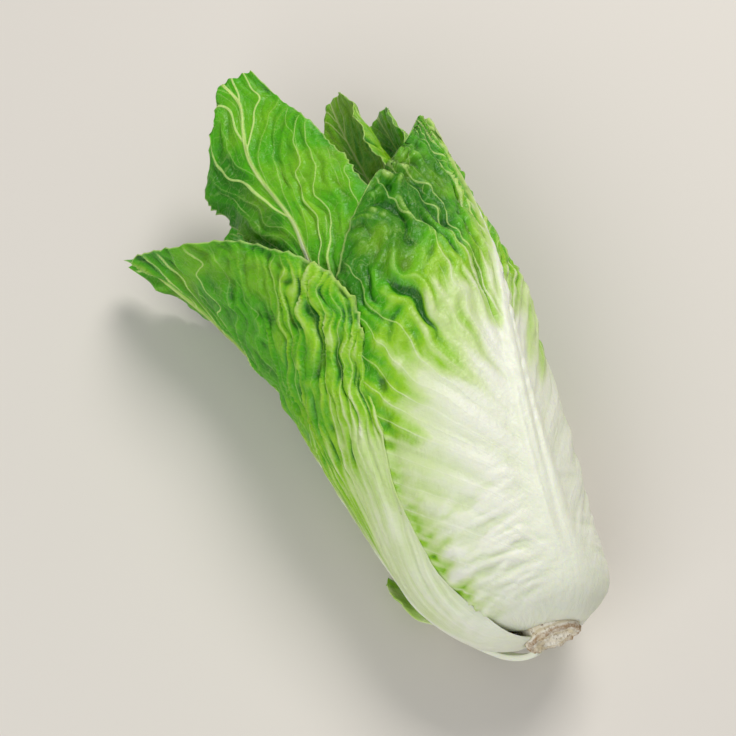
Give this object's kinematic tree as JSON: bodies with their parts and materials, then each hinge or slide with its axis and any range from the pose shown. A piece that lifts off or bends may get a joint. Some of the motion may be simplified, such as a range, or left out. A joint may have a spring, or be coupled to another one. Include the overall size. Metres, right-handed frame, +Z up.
{
  "type": "sugarloaf chicory head",
  "caption": "Elongated head of sugarloaf chicory lying on its side: white ribbed wrapper leaves with crinkled green tops round a pale heart and a cut stem.",
  "frame": {"origin": "on the supporting surface, below the middle of the head's bounding box", "axes": "+Y along the head from the cut stem to the leaf tips, +Z up from the surface it lies on, +X to the right seen from the stem end"},
  "size_m": [0.171, 0.3246, 0.1012],
  "materials": {
    "outer_leaf": "fresh leaf: white ribs, pale foot and bright green crinkled top, slightly glossy",
    "inner_leaf": "fresh leaf: pale green with cream ribs, slightly glossy",
    "heart_leaf": "fresh blanched leaf: cream to pale yellow, slightly glossy",
    "cut_stem": "cut stem: cream with brown specks, matt"
  },
  "bodies": {
    "root": {"crown_leaf_left": "outer_leaf", "crown_leaf_right": "outer_leaf", "crown_leaf_under": "outer_leaf", "heart_leaf_01": "heart_leaf", "heart_leaf_02": "heart_leaf", "heart_leaf_03": "heart_leaf", "heart_leaf_04": "heart_leaf", "heart_leaf_05": "heart_leaf", "heart_leaf_06": "heart_leaf", "heart_leaf_07": "heart_leaf", "heart_leaf_08": "heart_leaf", "heart_leaf_09": "heart_leaf", "heart_leaf_10": "heart_leaf", "heart_leaf_11": "heart_leaf", "heart_leaf_12": "heart_leaf", "heart_leaf_13": "heart_leaf", "heart_leaf_14": "heart_leaf", "heart_leaf_15": "heart_leaf", "mouth_leaf_left": "inner_leaf", "mouth_leaf_top": "inner_leaf", "mouth_leaf_under": "inner_leaf", "stem_core": "cut_stem", "torn_leaf_stub": "outer_leaf", "wrapper_leaf_front": "outer_leaf", "wrapper_leaf_left": "outer_leaf", "wrapper_leaf_right": "outer_leaf"}
  },
  "joints": []
}
